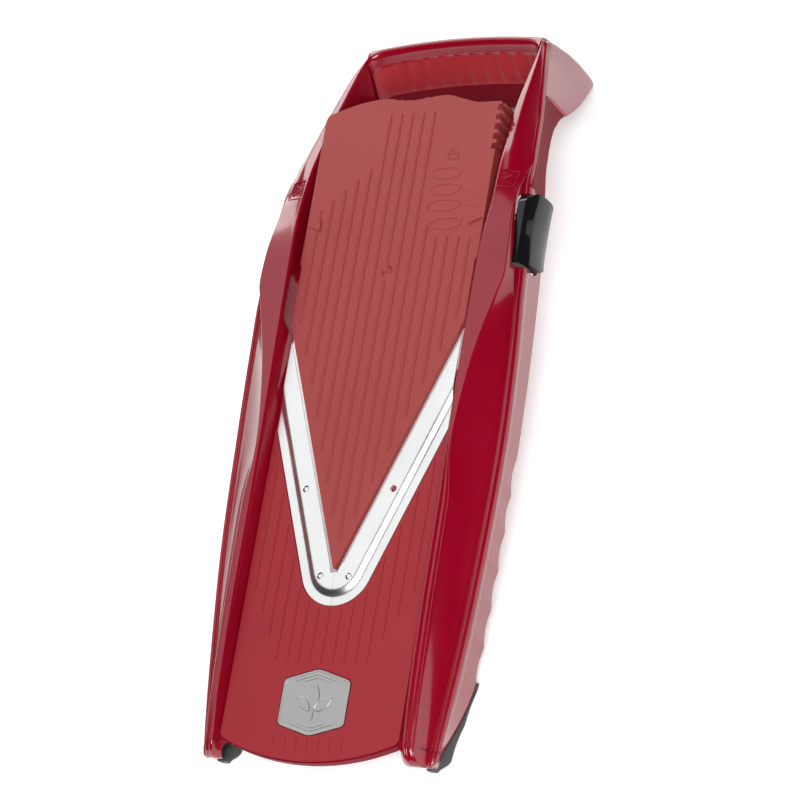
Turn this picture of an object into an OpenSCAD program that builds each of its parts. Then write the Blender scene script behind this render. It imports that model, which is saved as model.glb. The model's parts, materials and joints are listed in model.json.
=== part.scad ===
// V-blade mandoline slicer standing on its two rubber feet and the lower lip of its handle.
// The working surface slopes up towards the handle. +X is the user's right, +Y runs to the handle.
// Every shape is drawn flat on the working plane, with the tip of the V at zero, and then set down.

/* [Runway] */
// Clear width of the runway between the side rails
runway_w = 94; // [90:0.5:95]
// Thickness of the runway plate
deck_t = 3; // [2.5:0.1:3.5]
// Spacing of the raised ribs along the runway and the insert
rib_pitch = 6; // [5:0.25:6]
// Height of the ribs on the insert
rib_h = 0.35; // [0.2:0.05:0.5]
// Width of the ribs on the insert
rib_w = 1.8; // [1.2:0.1:2]

/* [Blades] */
// Distance along the runway from the tip of the V to the ends of the cutting edges
blade_run = 114; // [108:1:116]
// Height of the cutting band above the runway
blade_rise = 1.4; // [1:0.1:1.8]
// Thickness of the blade sheet
blade_t = 0.6; // [0.5:0.05:0.8]

/* [Insert] */
// Width of the sliding insert
insert_w = 96; // [94:0.5:96.5]
// Height of the insert above the runway when it covers the blades
insert_rise = 2.9; // [2.5:0.1:3.2]
// Distance between two thickness settings along the runway
step = 5; // [4.5:0.1:5]
// Number of thickness settings after the closed one
settings = 4; // [3:1:4]
// Slope of the ramps that lower the insert as it is drawn out
ramp_angle = 24; // [20:1:25]

/* [Frame] */
// Half width of the frame at its widest point
frame_half_w = 72.4; // [71.5:0.1:73]
// Wall thickness of the moulded shell
wall = 2.5; // [2:0.1:2.8]
// Slope of the working surface when the slicer stands on a table
stand_angle = 8.05; // [7.5:0.05:8.5]

/* [Latch] */
// Depth to which the latch tooth enters its notch
tooth_depth = 1.6; // [1.4:0.1:1.8]
// Diameter of the lever pin
lever_pin_d = 3; // [2.5:0.1:3.2]
// Radial clearance of the pin in the lever
pin_clearance = 0.05; // [0.03:0.01:0.08]

/* [Hidden] */
$fn = 48;
eps = 0.01;

// Height of the drawing's zero above the table, and the shift that centres the part on its origin
stand_drop = 40.95;
stand_shift_y = -102.4;

// Outline of the V
v_tip_half = 2;
v_slope = (46 - v_tip_half) / 114;
insert_gap = 2;
plate_t = 3;
hx = runway_w / 2;
ix = insert_w / 2;

// Stations along the frame, from the foot end to the handle end
frame_front = -85;
frame_back = 279;
scallop_from = -30;
scallop_to = 64;
scallop_pitch = 17.8;
scallop_depth = 2.2;

crest_x_at = [[-90, 50.2], [60, 50.5], [150, 51.4], [182, 52.6], [202, 52], [235, 50], [265, 49.6],
    [284, 47]];
crest_z_at = [[-90, -2], [-80, 1.3], [-60, 3.5], [-40, 4.7], [-15, 5.6], [60, 6.6], [120, 8], [152, 8.4],
    [182, 5.2], [198, 3.4], [216, -1.5], [233, -7], [250, -14.5], [265, -22], [278, -27]];
edge_z_at = [[-90, -11], [-73, -9.9], [-28, -9], [14, -7.6], [61, -6.7], [109, -4.1], [140, -1.6],
    [182, -1.7], [204, -4.2], [228, -11], [250, -17.5], [265, -22.5], [280, -29]];
bottom_z_at = [[-90, -17.5], [-80, -19], [-70, -23], [-60, -27.5], [-50, -31], [-42, -32.6], [-20, -31],
    [0, -29.5], [40, -27], [90, -25], [150, -24], [205, -25], [217, -27], [223, -28.5], [228, -30.4],
    [233, -33], [237, -36], [241, -39.5], [247, -47.3], [252, -53.5], [258, -60.3], [265, -67.2],
    [275, -77], [279, -80]];
inner_z_at = [[-90, -3], [118, -3], [135, -9], [205, -9], [228, -9.5], [240, -26], [255, -48],
    [270, -64], [279, -70]];

function clamp01(t) = min(1, max(0, t));
function eased(y, table, d = 5) = (lookup(y - d, table) + 2 * lookup(y, table) + lookup(y + d, table)) / 4;
function half_width(y) = frame_half_w - 0.0004 * (pow(y - 85, 2) + pow(max(0, y - 140), 2));
function crest_x(y) = eased(y, crest_x_at);
function crest_z(y) = eased(y, crest_z_at);
function edge_z(y) = eased(y, edge_z_at);
function scallop(y) = (y < scallop_from || y > scallop_to) ? 0
    : scallop_depth * abs(sin(180 * (y - scallop_to) / scallop_pitch));
function bottom_z(y) = eased(y, bottom_z_at) + scallop(y);
function inner_z(y) = eased(y, inner_z_at);
function bottom_x(y) = half_width(y) - 2.5 + 0.03 * max(0, y - 205);

// The inner face of a rail stands clear of the guide, and is the runway's side before the insert widens
guide_x0 = 48.6;
guide_t = 1.8;
guide_y0 = 146;
guide_y1 = 226;
guide_end_z = -7.5;
inner_wall = 2;
function foot_x(y) = y < 122 ? hx
    : max(crest_x(y) - 0.9, y < guide_y1 + 6 ? guide_x0 + guide_t + 0.05 : 0);

// One ring of the right rail: over the crest, down the slope and the side wall, and back inside
function rail_outer(y) = let (xc = crest_x(y), zc = crest_z(y), w = half_width(y), ze = edge_z(y),
        zb = bottom_z(y), xb = bottom_x(y), foot = foot_x(y)) [
    [foot, inner_z(y)], [max(foot, xc - 0.9), zc - 1.3], [xc, zc], [xc + 1.8, zc - 0.5],
    for (t = [0.35, 0.65, 0.9]) [xc + (w - xc) * t, zc + (ze - zc) * t - 1.4 * sin(180 * t)],
    [w, ze], [w + 0.6, ze - 3], [w + 0.4, ze - 0.45 * (ze - zb)], [xb, zb]];
function rail_inner(y) = let (xc = crest_x(y), zc = crest_z(y), w = half_width(y), ze = edge_z(y),
        zb = bottom_z(y), xb = bottom_x(y), foot = foot_x(y)) [
    [xb - wall, zb], [w + 0.4 - wall, ze - 0.45 * (ze - zb)], [w - wall, ze - 3],
    for (t = [0.75, 0.45]) [xc + (w - xc) * t, zc + (ze - zc) * t - 1.4 * sin(180 * t) - wall - 0.3],
    [xc + 1.4, zc - wall - 1.2], [foot + inner_wall, inner_z(y)]];
function rail_ring(y) = [for (p = concat(rail_outer(y), rail_inner(y))) [p[0], y, p[1]]];

rail_stations = [for (y = [frame_front : 5 : -35]) y,
    for (k = [0 : 2 : 20]) scallop_from + k * (scallop_to - scallop_from) / 20 + eps,
    for (y = [75 : 12 : 195]) y, for (y = [202 : 7 : 272]) y, frame_back];

// A closed skin through rings of equal length
module loft(rings) {
    n = len(rings[0]);
    last = len(rings) - 1;
    points = [for (r = rings) for (p = r) p];
    sides = [for (i = [0 : last - 1]) for (j = [0 : n - 1])
        for (f = [[i * n + j, i * n + (j + 1) % n, (i + 1) * n + (j + 1) % n],
                  [i * n + j, (i + 1) * n + (j + 1) % n, (i + 1) * n + j]]) f];
    front = [[for (j = [n - 1 : -1 : 0]) j]];
    back = [[for (j = [0 : n - 1]) last * n + j]];
    polyhedron(points = points, faces = concat(sides, front, back), convexity = 10);
}

// Height at which the table lies under a place on the drawing
function table_z(y) = -(stand_drop + y * sin(stand_angle)) / cos(stand_angle);

// Sets the flat drawing down on its feet
module stand() {
    translate([0, stand_shift_y, stand_drop]) rotate([stand_angle, 0, 0]) children();
}

module both_sides() {
    children();
    mirror([1, 0, 0]) children();
}

// ---- Frame ----

button_y0 = 148.5;
button_y1 = 185.5;
button_cut_x = 60.7;
button_cut_z = -20.5;

module rail_body() {
    loft([for (y = rail_stations) rail_ring(y)]);
}

module left_rail() {
    color("firebrick") stand() mirror([1, 0, 0]) rail_body();
}

module right_rail() {
    color("firebrick") stand() difference() {
        rail_body();
        translate([button_cut_x, button_y0, button_cut_z]) cube([20, button_y1 - button_y0, 40]);
    }
}

// The grip: a hollow bowed bar, open underneath, between the ends of the rails. It is turned about an
// upright axis, so that its lip rests on the table along its whole length
grip_half = 46.5;
grip_bow = 3.5;
grip_back = 2.3;
grip_turn = 24;
lip_line_y = 280;
grip_outline = [[258, -66], [262, -46], [265, -39.5], [277, -27.5], [279, -27], [281.5, -36], [283.2, -50],
    [283.6, -62], [282.6, -74], [lip_line_y, table_z(lip_line_y)], [277.5, -80.3]];
grip_hollow = [[275, -77.5], [279.8, -73], [280.5, -61], [280.1, -50], [278.4, -38], [276.6, -31.5],
    [267.3, -41], [264.8, -47], [261.6, -64.6]];
grip_r = grip_half * grip_half / (2 * grip_bow);
grip_axis_y = stand_shift_y + lip_line_y - grip_r;

// Where a place on the drawing comes to stand, as its distance from the upright axis and its height
function stood(p) = [stand_shift_y + p[0] * cos(stand_angle) - p[1] * sin(stand_angle) - grip_axis_y,
    stand_drop + p[0] * sin(stand_angle) + p[1] * cos(stand_angle)];

module handle_grip() {
    color("firebrick") intersection() {
        translate([0, grip_axis_y + grip_back, 0]) rotate([0, 0, 90 - grip_turn / 2])
            rotate_extrude(angle = grip_turn, $fn = 360)
                polygon([for (p = concat(grip_outline, grip_hollow)) stood(p)]);
        translate([-grip_half, 0, -10]) cube([2 * grip_half, 400, 100]);
    }
}

// ---- Runway ----

lip_y = -88.2;
lip_corner_y = -79;
lip_corner_x = 45.2;
lip_sag = lip_corner_y - lip_y;
lip_r = (lip_corner_x * lip_corner_x + lip_sag * lip_sag) / (2 * lip_sag);
deck_back = 121;
badge_half_w = 17.5;
badge_top = -45.4;
badge_bottom = -76.6;
badge_shoulder = 5.1;
badge_recess = 1;

// Half width of the V between its two edge lines, widened by a distance square to them
v_stretch = sqrt(1 + v_slope * v_slope);
function v_half(y, out = 0) = v_tip_half + v_slope * y + out * v_stretch;

module v_outline(out, y_top) {
    polygon([[-v_half(0, out), 0], [v_half(0, out), 0],
        [v_half(y_top, out), y_top], [-v_half(y_top, out), y_top]]);
}

// The round end of the blade frame touches both of its outer edges
nose_y = 3.4;
blade_band = 15.7;
nose_r = (v_tip_half + v_slope * nose_y) / v_stretch + blade_band;

module blade_frame_outline(grow, y_top) {
    y_touch = nose_y - nose_r * v_slope / v_stretch;
    x_max = hx + (grow > 0 ? 1 : -1.2);
    y_out = (x_max - v_half(0, blade_band + grow)) / v_slope;
    translate([0, nose_y]) circle(r = nose_r + grow, $fn = 96);
    polygon([[-v_half(y_touch, blade_band + grow), y_touch], [v_half(y_touch, blade_band + grow), y_touch],
        [x_max, y_out], [x_max, y_top], [-x_max, y_top], [-x_max, y_out]]);
}

module badge_outline(grow = 0) {
    b = badge_half_w + grow;
    polygon([[0, badge_top + grow], [b, badge_top - badge_shoulder + grow * 0.7],
        [b, badge_bottom + badge_shoulder - grow * 0.7], [0, badge_bottom - grow],
        [-b, badge_bottom + badge_shoulder - grow * 0.7], [-b, badge_top - badge_shoulder + grow * 0.7]]);
}

module deck_outline() {
    intersection() {
        union() {
            translate([-hx, lip_corner_y]) square([runway_w, deck_back - lip_corner_y]);
            translate([-lip_corner_x, lip_y - 1]) square([2 * lip_corner_x, 12]);
        }
        translate([0, lip_y + lip_r]) union() {
            circle(r = lip_r, $fn = 180);
            translate([-hx, 0]) square([runway_w, 300]);
        }
    }
}

// Fine ribs on the deck stop short of the blade seat and end in a chevron above the badge
deck_rib_w = 0.8;
deck_rib_h = 0.2;
deck_rib_top = 92;
rib_clear = 1.8;

function deck_rib_y0(a) = a < 4 ? badge_top + 3.4 : -8.5 - 11.1 * (7 - a);
function deck_rib_y1(x) = x < nose_r - 0.5 ? nose_y - sqrt(pow(nose_r + rib_clear, 2) - x * x)
    : min(deck_rib_top, (x - v_half(0, blade_band + rib_clear)) / v_slope);

module deck_ribs() {
    for (k = [-7 : 7])
        translate([k * rib_pitch - deck_rib_w / 2, deck_rib_y0(abs(k)), -eps])
            cube([deck_rib_w, deck_rib_y1(abs(k) * rib_pitch) - deck_rib_y0(abs(k)), deck_rib_h + eps]);
}

seat_depth = 0.9;

module runway_deck() {
    color("indianred") stand() {
        difference() {
            translate([0, 0, -deck_t]) linear_extrude(deck_t) deck_outline();
            translate([0, 0, -seat_depth]) linear_extrude(5) blade_frame_outline(0.3, deck_back + 1);
            translate([0, 0, -deck_t - 1]) linear_extrude(deck_t + 2) v_outline(4.5, deck_back + 1);
            translate([0, 0, -badge_recess]) linear_extrude(5) badge_outline(0.3);
        }
        deck_ribs();
    }
}

cross_rib_t = 2.4;
cross_rib_neck = 4;

// A rib across the underside, from side wall to side wall, with its upper corners cut off under the rails
module cross_rib(y, depth) {
    x = half_width(y) - wall - 1.2;
    neck_x = hx - 0.5;
    neck_z = -deck_t - cross_rib_neck;
    right = [[neck_x, -deck_t], [neck_x, neck_z], [x - 7, neck_z], [x - 0.8, neck_z - 5.5], [x, -depth]];
    translate([0, y + cross_rib_t, 0]) rotate([90, 0, 0]) linear_extrude(cross_rib_t)
        polygon(concat(right, [for (k = [len(right) - 1 : -1 : 0]) [-right[k][0], right[k][1]]]));
}

module front_cross_rib() {
    color("firebrick") stand() cross_rib(-56, 20);
}

module rear_cross_rib() {
    color("firebrick") stand() cross_rib(-20, 18);
}

// ---- Guides for the insert ----

guide_top = -1.2;
guide_bottom = -21;
lug_r = 2.5;
lug_z = -5;
lug_ys = [158, 203];
slot_clearance = 0.1;
slide_run = step * settings / cos(ramp_angle);

// The path of one lug: a round-ended slot that runs down the ramp
module lug_slot(y) {
    translate([0, y, lug_z]) rotate([-ramp_angle, 0, 0]) {
        rotate([0, 90, 0]) cylinder(r = lug_r + slot_clearance, h = 20, center = true);
        translate([0, slide_run, 0]) rotate([0, 90, 0])
            cylinder(r = lug_r + slot_clearance, h = 20, center = true);
        translate([-10, 0, -lug_r - slot_clearance]) cube([20, slide_run, 2 * (lug_r + slot_clearance)]);
    }
}

module guide_plate() {
    difference() {
        translate([guide_x0, 0, 0]) rotate([90, 0, 90]) linear_extrude(guide_t)
            polygon([[guide_y0, guide_bottom], [guide_y1, guide_bottom], [guide_y1, guide_end_z],
                [guide_y1 - 20, guide_top], [guide_y0, guide_top]]);
        translate([guide_x0 + 1, 0, 0]) for (y = lug_ys) lug_slot(y);
    }
}

module left_guide() {
    color("firebrick") stand() mirror([1, 0, 0]) guide_plate();
}

module right_guide() {
    color("firebrick") stand() guide_plate();
}

// ---- Blades ----

raised_inset = 5.5;
blade_back = 92;
stud_r = 1.6;
stud_places = [[23.4, 40.2], [7.5, -1.8]];
seam_half = 0.03;

// One blade: its cutting edge is the straight edge of the V
module blade_plan(inset) {
    intersection() {
        difference() {
            blade_frame_outline(-inset, blade_back + 0.5 * inset);
            v_outline(0, blade_run + 5);
        }
        translate([seam_half, -60]) square([100, 300]);
    }
}

module blade_point() {
    polygon([[v_half(blade_back - 10), blade_back - 10], [hx - 1.2, blade_back - 3], [hx - 1.2, blade_back],
        [v_half(blade_run) + 0.5, blade_run], [v_half(blade_run), blade_run]]);
}

// The raised cutting band stands on the plate, whose low rim lies level with the runway
module blade_half() {
    difference() {
        union() {
            translate([0, 0, 0.02 - seat_depth]) linear_extrude(blade_t) blade_plan(0);
            translate([0, 0, blade_t - seat_depth]) linear_extrude(blade_rise + seat_depth - blade_t) {
                blade_plan(raised_inset);
                blade_point();
            }
        }
        for (p = stud_places)
            translate([p[0], p[1], -5]) cylinder(r = stud_r + 0.05, h = 10);
    }
}

module left_blade() {
    color("gainsboro") stand() mirror([1, 0, 0]) blade_half();
}

module right_blade() {
    color("gainsboro") stand() blade_half();
}

module blade_studs() {
    color("firebrick") stand() both_sides() for (p = stud_places)
        translate([p[0], p[1], -seat_depth]) cylinder(r = stud_r, h = blade_rise + seat_depth - 0.2);
}

module badge_plate() {
    color("silver") stand() translate([0, 0, -badge_recess]) linear_extrude(0.8) badge_outline();
}

// ---- Rubber feet ----

foot_y0 = -86;
foot_y1 = -42;
// A foot carries on the lower front corner of a side wall down to the table, with a tongue inside the wall
foot_stations = [for (y = [foot_y0 + 1 : 5 : foot_y1 + 2]) y];
foot_skin = 0.3;
tongue_t = 5;
tongue_top = -15;

module foot_plan(x_in, x_out) {
    last = len(foot_stations) - 1;
    back = [for (k = [last : -1 : 0]) foot_stations[k]];
    polygon(concat([for (y = foot_stations) [bottom_x(y) + x_out, y]],
        [for (y = back) [bottom_x(y) + x_in, y]]));
}

module foot_side(top_points) {
    rotate([90, 0, 90]) linear_extrude(90)
        polygon(concat([[foot_y1 + 1, -33.4], [foot_y1 - 3, table_z(foot_y1 - 3)],
            [foot_y0 + 9, table_z(foot_y0 + 9)], [foot_y0 + 3.5, -27.4], [foot_y0 + 1, -24]], top_points));
}

module foot_body() {
    intersection() {
        translate([0, 0, -50]) linear_extrude(60) foot_plan(-wall - tongue_t, foot_skin);
        foot_side([for (y = foot_stations) [y, bottom_z(y)]]);
    }
    intersection() {
        translate([0, 0, -50]) linear_extrude(60) foot_plan(-wall - tongue_t, -wall - 0.9);
        foot_side([[foot_y0 + 1, -19], [foot_y0 + 6, tongue_top], [-62, tongue_top], [foot_y1 - 2, -30]]);
    }
}

module right_foot() {
    color("dimgray") stand() foot_body();
}

module left_foot() {
    color("dimgray") stand() mirror([1, 0, 0]) foot_body();
}

// ---- Sliding insert ----

insert_back = 232;
insert_low = 1.5;
notch_w = 3;
rack_y = 229;

module insert_outline() {
    corner_y = (ix - 1 - v_tip_half) / v_slope;
    difference() {
        union() {
            polygon([[-v_half(insert_low, -insert_gap), insert_low],
                [v_half(insert_low, -insert_gap), insert_low],
                [ix - 1, corner_y + 6], [ix, 152], [ix, insert_back], [-ix, insert_back - 2], [-ix, 152],
                [-ix + 1, corner_y + 6]]);
            // The pull edge bulges twice
            for (x = [-17, 17]) translate([x, insert_back - 39.4]) circle(r = 44, $fn = 120);
        }
        translate([-80, 100]) square([80 - ix, 200]);
        translate([ix, 100]) square([40, 200]);
        for (k = [0 : settings])
            translate([ix - tooth_depth - 0.4, rack_y - k * step - notch_w / 2]) square([10, notch_w]);
    }
}

// Broader ribs on the insert. The middle one is interrupted round the dimple
dimple_y = 147.5;
dimple_clear = 4;

insert_rib_y0 = [15, 26.1, 42.2, 58.3, 74.4, 90.5, 106.6, 122.7];
insert_rib_y1_left = [229, 229, 229, 201, 196, 191, 186, 181];
insert_rib_y1_right = [229, 229, 229, 170, 164, 164, 164, 164];

module insert_rib(x, y_low, y_high) {
    translate([x - rib_w / 2, y_low, insert_rise - eps])
        cube([rib_w, y_high - y_low, rib_h + eps]);
}

module insert_ribs() {
    insert_rib(0, insert_rib_y0[0], dimple_y - dimple_clear);
    insert_rib(0, dimple_y + dimple_clear, insert_rib_y1_left[0]);
    for (k = [1 : 7]) {
        insert_rib(k * rib_pitch, insert_rib_y0[k], insert_rib_y1_right[k]);
        insert_rib(-k * rib_pitch, insert_rib_y0[k], insert_rib_y1_left[k]);
    }
}

module slide_insert() {
    color("indianred") stand() {
        translate([0, 0, insert_rise - plate_t]) linear_extrude(plate_t) insert_outline();
        insert_ribs();
    }
}

skirt_t = 2.6;
skirt_x = ix - 0.2;
skirt_y0 = 150;
skirt_bottom = -9;
rack_bottom = -17;

// Skirts hang from both edges of the insert and carry its lugs
module skirt() {
    translate([skirt_x - skirt_t, skirt_y0, skirt_bottom])
        cube([skirt_t, insert_back - 3 - skirt_y0, insert_rise - plate_t - skirt_bottom]);
}

module left_skirt() {
    color("indianred") stand() mirror([1, 0, 0]) skirt();
}

module right_skirt() {
    color("indianred") stand() difference() {
        union() {
            skirt();
            translate([skirt_x - skirt_t, 205, rack_bottom])
                cube([skirt_t, insert_back - 205, skirt_bottom - rack_bottom]);
            translate([skirt_x - skirt_t, insert_back - 3 - eps, rack_bottom])
                cube([skirt_t, 3, insert_rise - plate_t - rack_bottom]);
        }
        for (k = [0 : settings])
            translate([ix - tooth_depth - 0.4, rack_y - k * step - notch_w / 2, rack_bottom - 1])
                cube([10, notch_w, 40]);
    }
}

module guide_lugs() {
    color("indianred") stand() both_sides() for (y = lug_ys)
        translate([skirt_x, y, lug_z]) rotate([0, 90, 0]) cylinder(r = lug_r, h = 2.3);
}

// ---- Latch ----

pivot = [55, 201];
hub_r = 3.8;
lever_z0 = -18;
lever_h = 4;
button_arm_y = 167;
arm_x0 = 56;
arm_x1 = 59;
leaf_y0 = 214;
button_x0 = 64.6;

module lever_bar(points) {
    translate([0, 0, lever_z0]) linear_extrude(lever_h) polygon(points);
}

module latch_lever() {
    color("dimgray") stand() difference() {
        union() {
            translate([pivot[0], pivot[1], lever_z0]) cylinder(r = hub_r, h = lever_h);
            lever_bar([[52.4, 200], [57.6, 200], [arm_x1, 192], [arm_x1, button_arm_y - 5],
                [arm_x0, button_arm_y - 5], [arm_x0, 191]]);
            lever_bar([[52.2, 202], [57.6, 202], [55.4, leaf_y0], [52.4, leaf_y0]]);
            translate([arm_x1 - 1, button_arm_y - 5, lever_z0]) cube([button_x0 - arm_x1 + 1, 10, lever_h]);
        }
        translate([pivot[0], pivot[1], lever_z0 - 1])
            cylinder(r = lever_pin_d / 2 + pin_clearance, h = lever_h + 2);
    }
}

// The springy end of the lever, whose tooth sits in the insert's rack
tooth_t = 1.6;

module latch_leaf() {
    tip_x = ix - tooth_depth;
    y0 = rack_y - tooth_t / 2;
    y1 = rack_y + tooth_t / 2;
    color("dimgray") stand() {
        lever_bar([[52.4, leaf_y0], [55.4, leaf_y0], [53.6, y1], [tip_x, y1], [tip_x, y0], [51.6, y0]]);
    }
}

// The cap stands proud of the side wall and folds over its upper edge
module button_side() {
    polygon([[button_x0, 1.8], [69.2, -0.2], [73.3, -2.8], [73.8, -12], [72.6, -17.5], [68, -20],
        [button_x0, -20]]);
}

// The gap is wider at the foot end, because the cap swings that way as it goes in
button_gap_front = 1.3;
button_gap_back = 0.5;

module push_button() {
    y0 = button_y0 + button_gap_front;
    y1 = button_y1 - button_gap_back;
    color("black") stand() intersection() {
        translate([0, y1, 0]) rotate([90, 0, 0]) linear_extrude(y1 - y0) button_side();
        rotate([90, 0, 90]) linear_extrude(100)
            polygon([[y0, 2], [y0, -13], [y0 + 3.5, -18], [y0 + 8.5, -20], [y1 - 4, -20], [y1, -15.5],
                [y1, -1], [y1 - 5, 2]]);
    }
}

pin_z0 = -21.5;
pin_h = 16.5;

module lever_pin() {
    color("silver") stand() translate([pivot[0], pivot[1], pin_z0]) cylinder(d = lever_pin_d, h = pin_h);
}

// A spring clip pressed on the lower end of the pin
module pin_clip() {
    color("silver") stand() translate([pivot[0], pivot[1], pin_z0 + 1.2]) difference() {
        cylinder(r = 3.4, h = 0.8);
        translate([0, 0, -1]) cylinder(d = lever_pin_d, h = 3);
        translate([0, -0.9, -1]) cube([5, 1.8, 3]);
    }
}

spring_y = 180;
spring_z = lever_z0 + lever_h / 2;
spring_x0 = 51.2;
spring_x1 = 55.95;

// The spring behind the lever arm, drawn as its closed outer form
module latch_spring() {
    color("silver") stand() translate([spring_x0, spring_y, spring_z]) rotate([0, 90, 0]) difference() {
        cylinder(r = 2.4, h = spring_x1 - spring_x0);
        translate([0, 0, -1]) cylinder(r = 1.6, h = 10);
    }
}

module spring_post() {
    color("firebrick") stand() translate([guide_x0 + guide_t, spring_y, spring_z]) rotate([0, 90, 0]) {
        cylinder(r = 2.6, h = spring_x0 - guide_x0 - guide_t);
        cylinder(r = 1.2, h = spring_x0 - guide_x0 - guide_t + 1.6);
    }
}

left_rail();
right_rail();
handle_grip();
runway_deck();
front_cross_rib();
rear_cross_rib();
left_guide();
right_guide();
left_blade();
right_blade();
blade_studs();
badge_plate();
left_foot();
right_foot();
slide_insert();
left_skirt();
right_skirt();
guide_lugs();
push_button();
latch_lever();
latch_leaf();
lever_pin();
pin_clip();
latch_spring();
spring_post();
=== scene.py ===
import json
import math

import bmesh
import bpy
import numpy as np
from mathutils import Matrix, Vector


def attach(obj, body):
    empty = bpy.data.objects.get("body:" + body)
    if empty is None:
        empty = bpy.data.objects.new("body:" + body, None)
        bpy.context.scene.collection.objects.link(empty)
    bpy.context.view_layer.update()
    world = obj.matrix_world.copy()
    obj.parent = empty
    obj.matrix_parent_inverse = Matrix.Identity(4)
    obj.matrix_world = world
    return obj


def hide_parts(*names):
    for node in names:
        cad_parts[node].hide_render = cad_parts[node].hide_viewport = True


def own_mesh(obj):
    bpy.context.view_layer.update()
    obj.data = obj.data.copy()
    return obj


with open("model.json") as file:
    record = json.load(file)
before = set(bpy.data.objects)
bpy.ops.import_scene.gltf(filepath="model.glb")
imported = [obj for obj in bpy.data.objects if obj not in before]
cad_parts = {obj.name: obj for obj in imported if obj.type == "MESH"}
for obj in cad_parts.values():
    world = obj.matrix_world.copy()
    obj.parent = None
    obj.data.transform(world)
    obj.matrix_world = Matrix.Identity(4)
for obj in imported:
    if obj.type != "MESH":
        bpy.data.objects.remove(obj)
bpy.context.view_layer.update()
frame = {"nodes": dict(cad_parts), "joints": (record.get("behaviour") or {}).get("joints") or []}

# --------------------------------------------------
# Placement. Every shape is drawn flat, in millimetres, on the working plane: the tip of the V at zero,
# +Y to the handle, +Z off the plane. The lever pin ties that drawing to the frame.
# --------------------------------------------------

MM = 0.001
PIN_PLACE = Vector((55.0, 201.0, 0.0))
joints = {j["name"]: j for j in frame["joints"]}
pin = joints["button_press"]
TILT = math.atan2(pin["axis"][1], -pin["axis"][2])
TURN = Matrix.Rotation(TILT, 3, "X")
SHIFT = Vector(pin["pos_m"]) - TURN @ (PIN_PLACE * MM)
FLAT = Matrix.Translation(SHIFT) @ TURN.to_4x4() @ Matrix.Scale(MM, 4)


def table_height(y):
    """Height of the table under a place on the drawing, in the drawing's millimetres."""
    return -(SHIFT.z / MM + y * math.sin(TILT)) / math.cos(TILT)


# --------------------------------------------------
# Curves and outlines
# --------------------------------------------------

def curve(table):
    """A smooth function through a short table of (place, value)."""
    xs, ys = (np.array(c, float) for c in zip(*table))
    steps = np.diff(ys) / np.diff(xs)
    before, after = steps[:-1], steps[1:]
    level = before * after <= 0
    inner = np.where(level, 0.0, 2 * before * after / np.where(level, 1.0, before + after))
    slopes = np.concatenate([steps[:1], inner, steps[-1:]])

    def at(x):
        x = min(max(x, xs[0]), xs[-1])
        i = min(int(np.searchsorted(xs, x, "right")) - 1, len(xs) - 2)
        h = xs[i + 1] - xs[i]
        t = (x - xs[i]) / h
        a = (1 + 2 * t) * (1 - t) ** 2 * ys[i] + t * (1 - t) ** 2 * h * slopes[i]
        b = t * t * (3 - 2 * t) * ys[i + 1] + t * t * (t - 1) * h * slopes[i + 1]
        return float(a + b)

    return at


def ramp(x, low, high):
    """Smooth step from 0 at low to 1 at high."""
    t = min(1.0, max(0.0, (x - low) / (high - low)))
    return t * t * (3 - 2 * t)


def mix(a, b, t):
    return a + (b - a) * t


def soften(points, times=2, cut=0.25, closed=True):
    """Rounds a control polygon by cutting its corners."""
    p = np.array(points, float)
    for _ in range(times):
        if closed:
            q = np.roll(p, -1, axis=0)
            p = np.stack([mix(p, q, cut), mix(p, q, 1 - cut)], 1).reshape(-1, p.shape[1])
        else:
            a, b = p[:-1], p[1:]
            inner = np.stack([mix(a, b, cut), mix(a, b, 1 - cut)], 1).reshape(-1, p.shape[1])
            p = np.vstack([p[:1], inner[1:-1], p[-1:]])
    return p


def arc(centre, radius, start, end, steps):
    """Points on an arc, with its angles in degrees."""
    angles = np.radians(np.linspace(start, end, steps))
    return [(centre[0] + radius * math.cos(a), centre[1] + radius * math.sin(a)) for a in angles]


def rounded(points, radius, steps=5):
    """A closed outline with its corners turned into arcs of about that radius."""
    out = []
    n = len(points)
    for i in range(n):
        a, b, c = (Vector(points[j % n]) for j in (i - 1, i, i + 1))
        r = min(radius, (a - b).length * 0.45, (c - b).length * 0.45)
        p, q = b + (a - b).normalized() * r, b + (c - b).normalized() * r
        for k in range(steps + 1):
            t = k / steps
            out.append(tuple((1 - t) ** 2 * p + 2 * t * (1 - t) * b + t * t * q))
    return out


# --------------------------------------------------
# Meshes. They are built in the drawing and set down by settle().
# --------------------------------------------------

def added(name, data):
    thing = bpy.data.objects.new(name, data)
    bpy.context.scene.collection.objects.link(thing)
    return thing


def drawn(name, points, faces):
    mesh = bpy.data.meshes.new(name)
    mesh.from_pydata([tuple(map(float, p)) for p in points], [], [tuple(map(int, f)) for f in faces])
    mesh.validate()
    return added(name, mesh)


def loft(name, rings, closed=True, caps=True):
    """Quads through rings of equal length. A closed ring runs round; an open one is a strip."""
    n = len(rings[0])
    points = np.vstack([np.asarray(r, float) for r in rings])
    around = n if closed else n - 1
    faces = [(i * n + j, i * n + (j + 1) % n, (i + 1) * n + (j + 1) % n, (i + 1) * n + j)
             for i in range(len(rings) - 1) for j in range(around)]
    if caps:
        last = (len(rings) - 1) * n
        faces.append(tuple(range(n - 1, -1, -1)))
        faces.append(tuple(range(last, last + n)))
    thing = drawn(name, points, faces)
    outward(thing)
    return thing


def outward(thing):
    """Welds a closed mesh and turns its faces to the outside."""
    b = bmesh.new()
    b.from_mesh(thing.data)
    bmesh.ops.remove_doubles(b, verts=b.verts, dist=1e-4)
    bmesh.ops.recalc_face_normals(b, faces=b.faces)
    if b.calc_volume(signed=True) < 0:
        bmesh.ops.reverse_faces(b, faces=b.faces)
    b.to_mesh(thing.data)
    b.free()


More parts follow.
